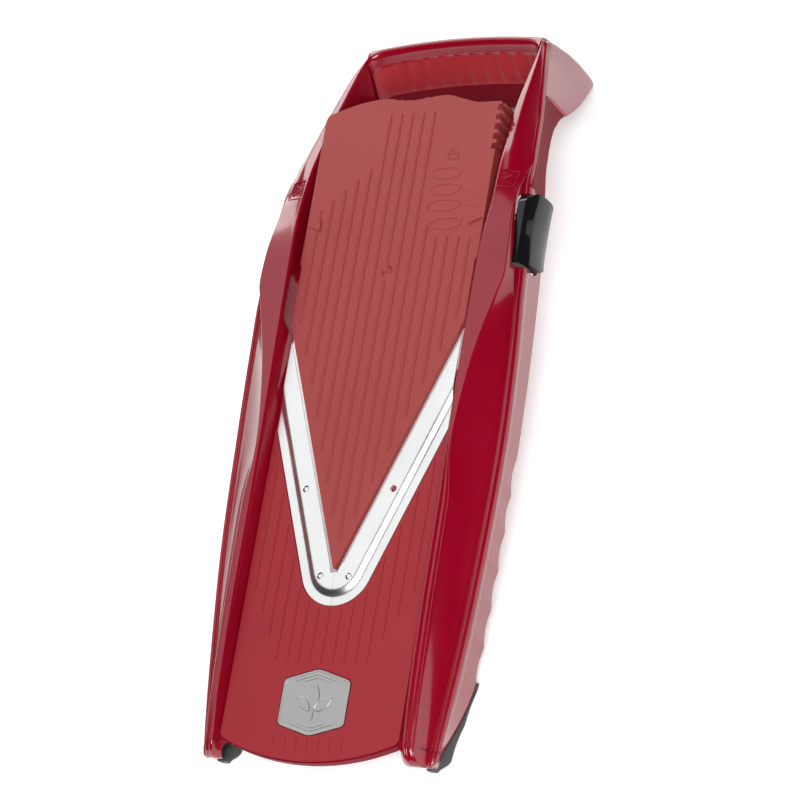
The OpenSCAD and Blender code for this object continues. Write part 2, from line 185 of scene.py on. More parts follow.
def prism(name, outline, low, high):
    """An outline on the working plane, raised from low to high."""
    return loft(name, [[(x, y, low) for x, y in outline], [(x, y, high) for x, y in outline]])


def applied(thing):
    """Replaces the object's mesh with its modifiers' result."""
    bpy.context.view_layer.update()
    graph = bpy.context.evaluated_depsgraph_get()
    mesh = bpy.data.meshes.new_from_object(thing.evaluated_get(graph))
    old = thing.data
    thing.modifiers.clear()
    thing.data = mesh
    bpy.data.meshes.remove(old)
    return thing


def combine(thing, other, how="DIFFERENCE"):
    """Cuts or joins two closed meshes, and removes the second."""
    m = thing.modifiers.new("boolean", "BOOLEAN")
    m.operation = how
    m.solver = "EXACT"
    m.object = other
    applied(thing)
    bpy.data.objects.remove(other)
    return thing


def bevelled(thing, width, segments=2, angle=30):
    m = thing.modifiers.new("bevel", "BEVEL")
    m.width = width
    m.segments = segments
    m.limit_method = "ANGLE"
    m.angle_limit = math.radians(angle)
    m.harden_normals = False
    return applied(thing)


def joined(name, things):
    """One object from several."""
    b = bmesh.new()
    for t in things:
        b.from_mesh(t.data)
    mesh = bpy.data.meshes.new(name)
    b.to_mesh(mesh)
    b.free()
    for t in things:
        bpy.data.objects.remove(t)
    return added(name, mesh)


def mirrored(thing, name):
    """The left-hand copy of a right-hand piece."""
    other = added(name, thing.data.copy())
    other.data.transform(Matrix.Scale(-1, 4, (1, 0, 0)))
    other.data.flip_normals()
    return other


def settle(thing, material, body, nodes=(), sharp=38):
    """Sets a drawn piece down in the frame, in its material, on its body."""
    thing.data.transform(FLAT)
    thing.data.shade_smooth()
    thing.data.set_sharp_from_angle(angle=math.radians(sharp))
    thing.data.materials.clear()
    thing.data.materials.append(material)
    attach(thing, body)
    even = thing.modifiers.new("even", "WEIGHTED_NORMAL")
    even.keep_sharp = True
    even.weight = 100
    if nodes:
        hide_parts(*nodes)
    return thing


# --------------------------------------------------
# Materials
# --------------------------------------------------

class Finish:
    """A Principled material with helpers for procedural detail."""

    def __init__(self, name, colour, roughness, metallic=0.0, **sockets):
        self.material = bpy.data.materials.new(name)
        self.material.use_nodes = True
        self.tree = self.material.node_tree
        self.shader = self.tree.nodes["Principled BSDF"]
        self.set("Base Color", (*colour, 1))
        self.set("Roughness", roughness)
        self.set("Metallic", metallic)
        for key, value in sockets.items():
            self.set(key.replace("_", " "), value)
        self.place = self.node("ShaderNodeTexCoord").outputs["Object"]

    def set(self, socket, value):
        self.shader.inputs[socket].default_value = value

    def node(self, kind, **settings):
        n = self.tree.nodes.new(kind)
        for key, value in settings.items():
            setattr(n, key, value)
        return n

    def link(self, a, b):
        self.tree.links.new(a, b)

    def noise(self, scale, detail=3.0, roughness=0.5, stretch=None):
        n = self.node("ShaderNodeTexNoise")
        n.inputs["Scale"].default_value = scale
        n.inputs["Detail"].default_value = detail
        n.inputs["Roughness"].default_value = roughness
        where = self.place
        if stretch:
            m = self.node("ShaderNodeMapping")
            m.inputs["Scale"].default_value = stretch
            self.link(where, m.inputs["Vector"])
            where = m.outputs["Vector"]
        self.link(where, n.inputs["Vector"])
        return n.outputs["Fac"]

    def spread(self, source, low, high, start=0.3, end=0.7):
        """Maps a 0 to 1 pattern onto a span of values."""
        m = self.node("ShaderNodeMapRange")
        for key, value in (("From Min", start), ("From Max", end), ("To Min", low), ("To Max", high)):
            m.inputs[key].default_value = value
        self.link(source, m.inputs["Value"])
        return m.outputs["Result"]

    def blend(self, factor, dark, light):
        m = self.node("ShaderNodeMix", data_type="RGBA")
        m.inputs["A"].default_value = (*dark, 1)
        m.inputs["B"].default_value = (*light, 1)
        self.link(factor, m.inputs["Factor"])
        return m.outputs["Result"]

    def edges(self, low=0.51, high=0.56):
        """1 on worn convex edges, 0 elsewhere."""
        g = self.node("ShaderNodeNewGeometry")
        return self.spread(g.outputs["Pointiness"], 0.0, 1.0, low, high)

    def bump(self, height, strength, distance):
        b = self.node("ShaderNodeBump")
        b.inputs["Strength"].default_value = strength
        b.inputs["Distance"].default_value = distance
        self.link(height, b.inputs["Height"])
        self.link(b.outputs["Normal"], self.shader.inputs["Normal"])


def plastic(name, dark, light, worn, rough, grain_scale, grain_depth, **sockets):
    """Moulded plastic: a slow drift of colour, uneven gloss and a fine grain. Worn edges may be paler."""
    f = Finish(name, light, rough[0], **sockets)
    drift = f.spread(f.noise(14.0, 2.0), 0.0, 1.0)
    tone = f.blend(drift, dark, light)
    if worn:
        wear = f.node("ShaderNodeMix", data_type="RGBA")
        f.link(tone, wear.inputs["A"])
        wear.inputs["B"].default_value = (*worn, 1)
        scuffs = f.node("ShaderNodeMath", operation="MULTIPLY")
        f.link(f.edges(), scuffs.inputs[0])
        f.link(f.spread(f.noise(260.0, 4.0), 0.0, 0.6), scuffs.inputs[1])
        f.link(scuffs.outputs["Value"], wear.inputs["Factor"])
        tone = wear.outputs["Result"]
    f.link(tone, f.shader.inputs["Base Color"])
    f.link(f.spread(f.noise(90.0, 5.0, 0.6), rough[0], rough[1]), f.shader.inputs["Roughness"])
    f.bump(f.noise(grain_scale, 2.0, 0.6), 1.0, grain_depth)
    return f.material


def steel(name, colour, rough, brush, depth):
    """Rolled or brushed sheet: fine lines one way, a cloudy tone and gloss."""
    f = Finish(name, colour, rough[0], metallic=1.0)
    lines = f.noise(900.0, 3.0, 0.6, stretch=brush)
    cloud = f.noise(35.0, 3.0)
    dark = tuple(c * 0.9 for c in colour)
    tone = f.blend(f.spread(cloud, 0.0, 1.0), dark, colour)
    f.link(tone, f.shader.inputs["Base Color"])
    both = f.node("ShaderNodeMath", operation="MULTIPLY_ADD")
    both.inputs[1].default_value = 0.5
    f.link(lines, both.inputs[0])
    f.link(cloud, both.inputs[2])
    f.link(f.spread(both.outputs["Value"], rough[0], rough[1], 0.5, 1.0), f.shader.inputs["Roughness"])
    f.bump(lines, 0.6, depth)
    return f.material


GLOSS_RED = plastic("frame_gloss_red", (0.22, 0.0006, 0.010), (0.25, 0.0009, 0.013), None,
                    (0.15, 0.19), 300.0, 0.000002, IOR=1.5, Coat_Weight=0.35, Coat_Roughness=0.08)
# Grained red with little gloss. Its darker base colour is painted shade, used on the arm's recess, the face
# under the grip and the deck's lip.
GRAINED_RED_PAINTED_SHADE = plastic("frame_grained_red_painted_shade", (0.17, 0.0006, 0.008), (0.19, 0.0009, 0.010), None,
                    (0.42, 0.48), 900.0, 0.000002, IOR=1.5, Specular_IOR_Level=0.06)
DECK_RED = plastic("runway_satin_red", (0.26, 0.006, 0.013), (0.28, 0.009, 0.016), None,
                   (0.42, 0.44), 1200.0, 0.000001, IOR=1.5, Specular_IOR_Level=0.4)
INSERT_RED = plastic("insert_matte_red", (0.28, 0.034, 0.032), (0.30, 0.039, 0.036), None,
                     (0.50, 0.52), 1200.0, 0.000001, IOR=1.5, Specular_IOR_Level=0.4)
GRIP_RED = plastic("grip_satin_red", (0.29, 0.018, 0.024), (0.32, 0.022, 0.028), None,
                   (0.28, 0.32), 1200.0, 0.000001, IOR=1.5, Specular_IOR_Level=0.4)
BLACK = plastic("button_gloss_black", (0.006, 0.006, 0.007), (0.008, 0.008, 0.009), None,
                (0.08, 0.12), 500.0, 0.000002, IOR=1.45)
RUBBER = plastic("foot_rubber_grey", (0.022, 0.025, 0.024), (0.035, 0.039, 0.037), (0.09, 0.09, 0.09),
                 (0.5, 0.65), 1500.0, 0.00005, IOR=1.45)
NYLON = plastic("lever_nylon_grey", (0.04, 0.04, 0.042), (0.06, 0.06, 0.062), (0.12, 0.12, 0.12),
                (0.45, 0.55), 1500.0, 0.00003, IOR=1.5)
BLADE_STEEL = steel("blade_steel", (0.86, 0.87, 0.865), (0.26, 0.36), (0.06, 1.0, 1.0), 0.000006)
BADGE_STEEL = steel("badge_silver", (0.47, 0.47, 0.46), (0.34, 0.46), (1.0, 0.05, 1.0), 0.000006)
PIN_STEEL = steel("pin_steel", (0.6, 0.6, 0.6), (0.22, 0.34), (1.0, 1.0, 0.08), 0.000006)

# --------------------------------------------------
# Side rails
# --------------------------------------------------

RUNWAY_HALF = 47.0
WALL = 2.5
INNER_WALL = 2.0
RAIL_FRONT = -79.5
NOSE = 7.5
NOSE_IN, NOSE_OUT, NOSE_DOWN, NOSE_UP = 6.0, 2.5, 8.5, 1.5
RAIL_BACK = 276.0
CORNER = 3.0
SEAM_X = 46.9
BACK_SET = 1.2
BEND_FROM = 262.0

crest_x = curve([(-90, 50.2), (60, 50.5), (150, 51.4), (182, 52.6), (202, 52), (235, 50), (265, 49.2),
                 (284, 47.2)])
crest_z = curve([(-90, 0.2), (-80, 1.3), (-60, 3.5), (-40, 4.7), (-15, 5.6), (60, 6.6), (120, 8), (152, 8.2),
                 (182, 5.4), (198, 3), (216, -1.5), (233, -6.6), (250, -13.2), (265, -19.4), (280, -25.2)])
edge_z = curve([(-90, -10.6), (-73, -9.9), (-28, -9), (14, -7.6), (61, -6.7), (109, -4.1), (140, -1.9),
                (182, -1.9), (204, -4.4), (228, -11), (250, -17.5), (265, -22.8), (280, -29)])
bottom_z = curve([(-90, -17.5), (-80, -19), (-70, -23), (-60, -27.5), (-50, -31), (-42, -32.4), (-20, -31),
                  (0, -29.5), (40, -27), (90, -25), (150, -24), (205, -25), (217, -27), (228, -30.4),
                  (233, -33), (237, -36), (241, -39.5), (247, -47.3), (252, -53.8), (258, -60.3),
                  (265, -67.2), (275, -77), (280, -80)])
inner_z = curve([(-90, -3), (118, -3), (135, -9), (228, -9.5), (240, -26), (255, -48), (270, -64),
                 (279, -70)])
facet_x = curve([(50, 50.8), (83, 53.7), (100, 56.1), (114, 59), (133, 64), (143, 66.4), (158, 65.8),
                 (179, 63.8), (203, 63.4)])
facet_drop = curve([(50, 0), (100, 0.3), (143, 0.8), (165, 0.9), (182, 1.8), (204, 6.3), (228, 6.4),
                    (250, 3.6), (265, 1.6), (284, 1.0)])

WIDEST_HALF, WIDEST_Y, WAIST_Y, SIDE_BOW = 72.4, 85, 140, 0.0004
DRAFT = 2.5
ARM_Y = (185, 207)
ARM_FLAT = 0.35
FACET_FROM = 50
PANEL_Y = (189.2, 244.2)
SCALLOP_END = 64.0
SCALLOP_PITCH = 17.8
SCALLOP_DEPTH = 2.2


def half_width(y):
    return WIDEST_HALF - SIDE_BOW * ((y - WIDEST_Y) ** 2 + max(0.0, y - WAIST_Y) ** 2)


def bottom_x(y):
    """Half width at the lower edge: the side wall leans in, less so towards the handle."""
    return half_width(y) - DRAFT + 0.03 * max(0.0, y - 205)


def scallop(y, depth=SCALLOP_DEPTH):
    """The wavy lower edge: hollows between points that reach down."""
    if y > SCALLOP_END:
        return 0.0
    return depth * abs(math.sin(math.pi * (y - SCALLOP_END) / SCALLOP_PITCH))


def arm_share(y):
    """0 along the runway, 1 on the arm to the handle."""
    return ramp(y, *ARM_Y)


def arm_fall(t):
    """Share of the fall across the arm's top: level by the crest, then rounding away."""
    return max(0.0, (t - ARM_FLAT) / (1 - ARM_FLAT)) ** 1.6


def strip_edge(y):
    """Outer edge of the rail's flat top strip, and its height."""
    x = mix(facet_x(y), half_width(y) - 1.5, ramp(y, 185, 203))
    return max(x, crest_x(y) + 0.4), crest_z(y) - facet_drop(y)


def foot_x(y):
    """Where the inner wall stands: at the runway, then outside the insert, then under the crest."""
    widened = crest_x(y) - 0.9
    clear = mix(50.45, widened, ramp(y, 228, 238))
    return mix(RUNWAY_HALF, max(widened, clear), ramp(y, 118, 126))


def outline_between(a, b, shares, sag):
    """Points between two places, hung below the straight line."""
    return [(mix(a[0], b[0], t), mix(a[1], b[1], t) - sag * math.sin(math.pi * t) * (1 - 0.3 * t))
            for t in shares]


# Sections through the rail, as distances out from the crest and down from it
STEPPED = [(0.9, 0.05), (1.3, 0.7), (1.7, 0.95), (3.3, 1.15), (3.9, 1.75), (4.7, 1.65)]
PLAIN_SHARES = (0.15, 0.35, 0.55, 0.75, 0.93, 1.0)
SLOPE_SHARES = (0.16, 0.34, 0.52, 0.7, 0.87)
ROLL_SHARES = (0.08, 0.16, 0.26, 0.38, 0.5, 0.62, 0.74, 0.87, 1.0)
SIDE_SHARES = ((0.06, 0), (0.16, 0), (0.175, 1), (0.4, 1), (0.65, 1), (0.85, 1), (1.0, 1))
ROLL_DROP = 1.7
PANEL_DEEP, PANEL_SHALLOW = 0.95, 0.22


def rail_outside(y):
    """Control points of the right rail's section that show: from the inner wall's foot to the lower edge."""
    xc, zc, w, ze = crest_x(y), crest_z(y), half_width(y), edge_z(y)
    xb, zb = bottom_x(y), bottom_z(y) + scallop(y) * ramp(y, -46, -40)
    low, arm = 1 - ramp(y, 30, 70), arm_share(y)
    fx, top = strip_edge(y) if y > FACET_FROM else (xc + 0.4, zc)
    foot = foot_x(y)
    wall = [(foot, inner_z(y)), (mix(foot, max(foot, xc - 0.95), 0.9), zc - 1.7),
            (max(foot, xc - 0.85), zc - 0.7), (xc - 0.3, zc - 0.02), (xc + 0.35, zc + 0.03)]
    plain = [(mix(xc, fx, t), mix(zc, top, mix(t, arm_fall(t), arm))) for t in PLAIN_SHARES]
    stepped = [(xc + out, zc - down) for out, down in STEPPED]
    upper = [(mix(p[0], q[0], low), mix(p[1], q[1], low)) for p, q in zip(plain, stepped)]
    start = upper[-1]
    bead = (w - 3.1, mix(start[1], ze, 0.93) + 0.15)
    slope = outline_between(start, bead, SLOPE_SHARES, mix(0.9, 1.9, low))
    rim = [(w - 2.9, bead[1] - 0.5), (w - 2.0, ze + 1.05), (w - 0.9, ze + 0.95), (w, ze + 0.1)]
    level = mix(ze, top - 1.6, arm)
    inset = mix(PANEL_SHALLOW, PANEL_DEEP, ramp(y, 187.5, 189)) * (1 - ramp(y, 244, 246))
    shoulder, hem = (w + mix(0.5, 0.3, arm), level - 1.8), (xb + 0.15, zb + 0.9)
    side = [shoulder] + [(mix(shoulder[0], hem[0], t) - inset * k, mix(shoulder[1], hem[1], t))
                         for t, k in SIDE_SHARES]
    side += [(xb - inset, zb)]
    rolled = [(mix(fx, w, math.sin(t * math.pi / 2)), top - ROLL_DROP * (1 - math.cos(t * math.pi / 2)))
              for t in ROLL_SHARES]
    turn = [(mix(p[0], q[0], arm), mix(p[1], q[1], arm)) for p, q in zip(slope + rim, rolled)]
    return wall, upper + turn, side


def rail_outline(y, filled=False):
    """Control points of the whole section, closed over the hollow inside."""
    wall, top, side = rail_outside(y)
    xb, zb = side[-1]
    w, foot, low = half_width(y), foot_x(y), inner_z(y)
    xs, zs = zip(*sorted(wall[3:] + top))
    deep = top[-1][1] - zb

    def under(x, gap):
        return (x, min(float(np.interp(x + d, xs, zs)) for d in (-1.5, 0, 1.5)) - gap)

    left, right = foot + INNER_WALL, w + 0.1 - WALL
    hollow = [(xb - WALL, zb), (xb - WALL + 0.2, zb + 1.5), (right, top[-1][1] - 0.45 * deep),
              (right, top[-1][1] - 3)]
    hollow += [under(mix(left + 1.5, right - 1.5, t), WALL + 0.3) for t in (0.9, 0.5, 0.1)]
    hollow += [(left, min(hollow[-1][1] - 0.8, low + 4)), (left, low)]
    solid = 1.0 if filled else ramp(y, 244, 256)
    if solid > 0:
        count = len(hollow) - 1
        line = [(mix(xb - WALL, foot + 0.3, k / count), mix(zb, low, k / count)) for k in range(count + 1)]
        hollow = [(mix(p[0], q[0], solid), mix(p[1], q[1], solid)) for p, q in zip(hollow, line)]
    return wall + top + side + hollow


def back_wall_y(z):
    """How far the back wall of the handle bulges past the end of the rails at a height."""
    return float(np.interp(z, [-81, -74, -62, -50, -36, -29, -26], [1.6, 3.4, 4.5, 4.2, 2.4, 0.9, -0.6]))


def rail_ring(y, turn=0.0):
    """One ring. Past the last straight section the turn, in degrees, rounds the corner to the back wall."""
    ring = soften(rail_outline(y), 2)
    pull = ramp(y, BEND_FROM, RAIL_BACK + CORNER)
    fold, reach = 1 - math.cos(math.radians(turn)), math.sin(math.radians(turn))
    pull = mix(pull, 1.0, reach)
    points = []
    for x, z in ring:
        near = SEAM_X + (x - SEAM_X) * (1 - 0.95 * fold * ramp(x, SEAM_X, SEAM_X + 2.6)) if turn else x
        back = y + CORNER * reach + pull * (back_wall_y(z) - BACK_SET)
        points.append((near, back, z - 0.6 * fold * ramp(z, -40, -28)))
    return points


def nose_ring(turn):
    """Rings of the closed, rounded front end, as the turn runs from 0 to a right angle."""
    shrink = 1 - math.cos(turn)
    out = []
    for x, z in soften(rail_outline(RAIL_FRONT, True), 2):
        top, side = ramp(z, -14, 2), ramp(x, 55, 71)
        out.append((x - side * NOSE_IN * shrink + (1 - side) * top * NOSE_OUT * shrink,
                    RAIL_FRONT - NOSE * math.sin(turn) * mix(0.75, 1.0, top),
                    z - top * NOSE_DOWN * shrink + (1 - top) * NOSE_UP * shrink))
    return out


def right_rail():
    """The shell and its closed nose. The sections stand closer where the panel starts and ends."""
    step = SCALLOP_PITCH / 10
    wavy = np.arange(RAIL_FRONT, SCALLOP_END + step, step)
    plain = np.concatenate([np.arange(SCALLOP_END + 4, 186, 3.0), [187.4, 188, 188.6, 189.2],
                            np.arange(191, 243, 3.0), [243.9, 244.5, 245, 245.5, 246.1, 249, 252, 255],
                            [258.5, BEND_FROM]])
    end = np.linspace(BEND_FROM, RAIL_BACK, 6)[1:]
    corner = [rail_ring(RAIL_BACK, t) for t in (15, 30, 45, 60, 75, 88)]
    shell = loft("right_rail_shell", [rail_ring(y) for y in (*wavy, *plain, *end)] + corner)
    nose = loft("nose", [nose_ring(math.radians(a)) for a in (88, 76, 64, 52, 40, 28, 16, 8, 0)]
                + [[(x, RAIL_FRONT + 2, z) for x, z in soften(rail_outline(RAIL_FRONT + 2, True), 2)]])
    return shell, nose


BUTTON_WINDOW = [(148.4, 3.3), (148.4, -13.5), (152, -18.8), (157, -20.6), (181.8, -20.6), (185.6, -16),
                 (185.6, -0.9), (180.6, 3.3)]


def button_window():
    ring = rounded(BUTTON_WINDOW, 1.5, 4)
    return loft("window", [[(x, y, z) for y, z in ring] for x in (61.0, 90.0)])


PAD_Y = (187.0, 196.2)
PAD_X = (53.2, 61.4)
PAD_HIGH = 0.4
PAD_LINE = 0.7


def surface_z(x, y):
    """Height of the rail's top strip at a place."""
    edge, top = strip_edge(y)
    t = max(0.0, (x - crest_x(y)) / (edge - crest_x(y)))
    return mix(crest_z(y), top, mix(t, arm_fall(t), arm_share(y)))


def on_facet(points, lift):
    return [(x, y, surface_z(x, y) + lift) for x, y in points]


def line_on_facet(a, b, width):
    """A raised line that follows the strip's surface between two places."""
    a, b = Vector(a), Vector(b)
    side = Vector((-(b - a).y, (b - a).x)).normalized() * width / 2
    middle = [a.lerp(b, t) for t in np.linspace(0, 1, 9)]
    ring = [tuple(p - side) for p in middle] + [tuple(p + side) for p in reversed(middle)]
    return loft("line", [on_facet(ring, -1.0), on_facet(ring, PAD_HIGH)])


def marker():
    """A raised frame, open to the runway, with a raised arrow in it."""
    (x0, x1), (y0, y1) = PAD_X, PAD_Y
    y = (y0 + y1) / 2
    sides = [((x0, y0), (x1, y0)), ((x1, y0), (x1, y1)), ((x1, y1), (x0, y1))]
    tip, back = (x0 + 1.2, y), x1 - 1.8
    sides += [(tip, (back, y - 2.9)), ((back, y - 2.9), (back, y + 2.9)), ((back, y + 2.9), tip)]
    return bevelled(joined("marker", [line_on_facet(a, b, PAD_LINE) for a, b in sides]), 0.12)


def in_panel(face):
    """Whether a face lies in the recess on the outside of the arm. These faces get the grained red whose
    darker colour is painted shade.
    """
    inverse = FLAT.inverted()
    c, n = inverse @ face.center, (inverse.to_3x3() @ face.normal).normalized()
    outer = abs(c.x) > half_width(c.y) - 5 and abs(n.x) > 0.8 and n.x * c.x > 0
    return outer and PANEL_Y[0] < c.y < PANEL_Y[1] and c.z < strip_edge(c.y)[1] - 3


def side_rails():
    shell, nose = right_rail()
    arrow = marker()
    parts = [mirrored(thing, "left") for thing in (shell, nose, arrow)]
    combine(shell, button_window())
    rail = joined("right_rail_shell", [shell, nose, arrow])
    left = joined("left_rail_shell", parts)
    for thing, node in ((rail, "right_rail"), (left, "left_rail")):
        settle(thing, GLOSS_RED, "frame", [node])
        thing.data.materials.append(GRAINED_RED_PAINTED_SHADE)
        # Faces in the arm's recess take the darker grained red: painted shade.
        for face in thing.data.polygons:
            if in_panel(face):
                face.material_index = 1


# --------------------------------------------------
# Handle grip
# --------------------------------------------------

GRIP_HALF = 47.4
GRIP_BOW = 3.5
WAVE_PITCH = 8.6
WAVE_DEPTH = 0.6
WAVE_TOP, WAVE_FOOT = -31.5, -43.5
FILLET = 9.0


def grip_outline():
    """Cross-section (y, z): inner face under the waves (painted darker as shade), waves, rim, back wall and
    lip, then the hollow inside.
    """
    outer = [(258, -66), (260, -55), (261.8, -47), (262.6, -44), (265, -40.3), (268, -37), (271, -33.8),
             (273.6, -31.0), (274.4, -28.6), (275.8, -25.6), (277.8, -24.0), (279.8, -25.0), (280.9, -29.5),
             (282, -38), (283.2, -50), (283.6, -62), (282.8, -74), (281.4, -79.6),
             (280, table_height(280) + 0.05), (278.2, -80.4)]
    inner = [(276.2, -76.8), (279.6, -73), (280.4, -61), (280, -50), (278.2, -38), (276.6, -32),
             (267.3, -41.5), (264.8, -47), (261.4, -65.6)]
    return outer + inner


def handle_grip():
    steps = 132
    outline = soften(grip_outline(), 2)
    rings = []
    for k in range(steps + 1):
        x = GRIP_HALF * (2 * k / steps - 1)
        bow = GRIP_BOW * (1 - (x / GRIP_HALF) ** 2) - BACK_SET
        ring = []
        for y, z in outline:
            on_waves = ramp(z, -43.5, -40) * (1 - ramp(z, -30.5, -28.5)) * (y < 276.6) * (z > -47) * (z < -30)
            near = abs(y - mix(262, 277, (z + 46) / 18)) < 2.2
            into = max(0.0, abs(x) - GRIP_HALF + FILLET)
            dent = WAVE_DEPTH * abs(math.cos(math.pi * x / WAVE_PITCH)) * on_waves * near * (into == 0)
            corner = -0.55 * (FILLET - math.sqrt(FILLET ** 2 - into ** 2))
            corner = corner * (1 - ramp(y, 277, 279.4)) * ramp(z, -60, -40)
            ring.append((x, y + bow + dent * 0.72 + corner,
                         z - bow * math.tan(TILT) - dent * 0.69 - 0.35 * corner))
        rings.append(ring)
    grip = loft("handle_grip_shell", rings)
    settle(grip, GLOSS_RED, "frame", ["handle_grip"])
    grip.data.materials.append(GRIP_RED)
    grip.data.materials.append(GRAINED_RED_PAINTED_SHADE)
    count = len(outline)
    top = int(np.argmax(outline[:, 1]))
    for face in grip.data.polygons[:count * steps]:
        j = face.index % count
        height = (outline[j][1] + outline[(j + 1) % count][1]) / 2
        # Wave faces take the satin grip red. Faces below the waves take the darker grained red as painted
        # shade.
        if j < top and height < WAVE_TOP:
            face.material_index = 2 if height < WAVE_FOOT else 1
    return grip


# --------------------------------------------------
# Runway deck
# --------------------------------------------------

RIB_PITCH = 6.0
OUTER_RIB, BADGE_RIBS = 7, 3
RIB_CLEAR = 1.8
DECK_RIB = (0.8, 0.26)
V_TIP = 2.0
V_SLOPE = 44.0 / 114.0
V_STRETCH = math.hypot(1, V_SLOPE)
BAND = 15.7
NOSE_Y = 3.4
NOSE_R = (V_TIP + V_SLOPE * NOSE_Y) / V_STRETCH + BAND
SEAT = 0.9
V_OPEN = 4.5
DECK_BACK = 121.0
LIP_CORNER = (45.2, -79.0)
LIP_Y = -88.2
LIP_SAG = LIP_CORNER[1] - LIP_Y
LIP_R = (LIP_CORNER[0] ** 2 + LIP_SAG ** 2) / (2 * LIP_SAG)
LIP_ANGLE = math.degrees(math.asin(LIP_CORNER[0] / LIP_R))


def v_half(y, out=0.0):
    """Half width of the V at a place, widened square to its edges."""
    return V_TIP + V_SLOPE * y + out * V_STRETCH


def v_line_y(x, out=0.0):
    return (x - V_TIP - out * V_STRETCH) / V_SLOPE


def blade_nose(radius, steps, half=False):
    """The round end under the V, from its right touching point round to the left one."""
    touch = math.degrees(math.atan(V_SLOPE))
    return arc((0, NOSE_Y), radius, -touch, -90 if half else -180 + touch, steps)


def frame_outline(grow, top):
    """Outline of the whole V-shaped blade frame."""
    x = RUNWAY_HALF + 1 if grow > 0 else RUNWAY_HALF - 1.2
    y = v_line_y(x, BAND + grow)
    return [(-x, y), (-x, top), (x, top), (x, y)] + blade_nose(NOSE_R + grow, 33)


def lip_arc(reach=0.0):
    return arc((0, LIP_Y + LIP_R), LIP_R + reach, -90 - LIP_ANGLE, -90 + LIP_ANGLE, 41)


def strip(a, b, side):
    """Outline of a line from a to b, as far to each side as the vector says."""
    return [tuple(a - side), tuple(b - side), tuple(b + side), tuple(a + side)]


def rib(x, low, high, base, width, height):
    """A raised line along the runway with a rounded back and round ends."""
    stations = [(0.0, 0.25), (0.12, 0.7), (0.5, 1.0)]
    ends = [(low + s * width, k) for s, k in stations]
    ends += [(high - s * width, k) for s, k in reversed(stations)]
    back = [(-0.82, 0.45), (-0.4, 0.92), (0, 1), (0.4, 0.92), (0.82, 0.45)]
    rings = []
    for y, k in ends:
        half = width / 2 * k
        ring = [(x + half * side, y, base + height * rise * k) for side, rise in back]
        rings.append([(x - half, y, base - 0.2)] + ring + [(x + half, y, base - 0.2)])
    return loft("rib", rings)


def deck_ribs():
    """Ribs that start in a chevron and stop short of the blades, with short ones in front of the badge."""
    ribs = []
    for k in range(-OUTER_RIB, OUTER_RIB + 1):
        x = k * RIB_PITCH
        low = -8.5 - 11.1 * (OUTER_RIB - abs(k))
        top = min(92.0, v_line_y(abs(x), BAND + RIB_CLEAR))
        if abs(x) < NOSE_R * 0.92:
            top = NOSE_Y - math.sqrt((NOSE_R + RIB_CLEAR) ** 2 - x * x)
        if abs(k) <= BADGE_RIBS:
            low = -42.0 + (BADGE_RIBS - abs(k)) * -0.2
        ribs.append(rib(x, low, top, 0.0, *DECK_RIB))
        if abs(k) <= BADGE_RIBS:
            end = -77.5 + (0.5 if abs(k) == BADGE_RIBS else 0)
            ribs.append(rib(x, -85.0 + 0.9 * abs(k), end, 0.0, *DECK_RIB))
    return ribs


def seat_ticks():
    """Short raised lines along the outer right edge of the blade seat."""
    ticks = []
    direction = Vector((V_SLOPE, 1)).normalized()
    for k in range(7):
        middle = Vector((v_half(2 + 13.5 * k, BAND + 1.4), 2 + 13.5 * k))
        a, b = middle - direction * 2.4, middle + direction * 2.4
        side = Vector((direction.y, -direction.x)) * 0.3
        ticks.append(bevelled(prism("tick", strip(a, b, side), -0.1, 0.16), 0.08, 1))
    return ticks


def runway_deck():
    """The plate with its V, the blade seat and the badge's recess, and the lip under its front edge."""
    h = RUNWAY_HALF
    outline = [(h, DECK_BACK), (-h, DECK_BACK), (-h, -76.5)] + lip_arc() + [(h, -76.5)]
    deck = prism("runway_plate", outline, -3.0, 0.0)
    near, far, back = v_half(0, V_OPEN), v_half(DECK_BACK + 2, V_OPEN), DECK_BACK + 2
    combine(deck, prism("v", [(-near, -0.5), (near, -0.5), (far, back), (-far, back)], -5, 5))
    combine(deck, prism("seat", frame_outline(0.45, DECK_BACK + 3), -SEAT, 5))
    combine(deck, prism("recess", badge_ring(0.35, 2.2), -1.0, 5))
    bevelled(deck, 0.28, 3)
    front = ([(-50.6, -84.2), (-46.2, -79.6)] + lip_arc(reach=0.7)
             + [(46.2, -79.6), (50.6, -84.2), (49, -74), (-49, -74)])
    lip = bevelled(prism("runway_lip", front, -6.6, -0.75), 0.9, 3)
    deck = joined("runway_plate", [deck] + deck_ribs() + seat_ticks())
    settle(deck, DECK_RED, "frame", ["runway_deck"], sharp=50)
    # The lip under the deck's front edge takes the darker grained red: painted shade.
    settle(lip, GRAINED_RED_PAINTED_SHADE, "frame", ())


# --------------------------------------------------
# Badge
# --------------------------------------------------

BADGE_TOP, BADGE_BOTTOM, BADGE_HALF, BADGE_SHOULDER = -45.4, -76.6, 17.5, 5.1


def badge_ring(grow, radius):
    b = BADGE_HALF + grow
    top, low = BADGE_TOP + grow, BADGE_BOTTOM - grow
    return rounded([(0, top), (-b, top - BADGE_SHOULDER), (-b, low + BADGE_SHOULDER), (0, low),
                    (b, low + BADGE_SHOULDER), (b, top - BADGE_SHOULDER)], radius)


def lens_ring(centre, length, width, angle):
    """The outline of a pointed oval."""
    c, s = math.cos(math.radians(angle)), math.sin(math.radians(angle))
    side = [(length * (t - 0.5), width / 2 * math.sin(math.pi * t) ** 0.8) for t in np.linspace(0, 1, 14)]
    ring = side + [(x, -y) for x, y in reversed(side[1:-1])]
    return [(centre[0] + x * c - y * s, centre[1] + x * s + y * c) for x, y in ring]


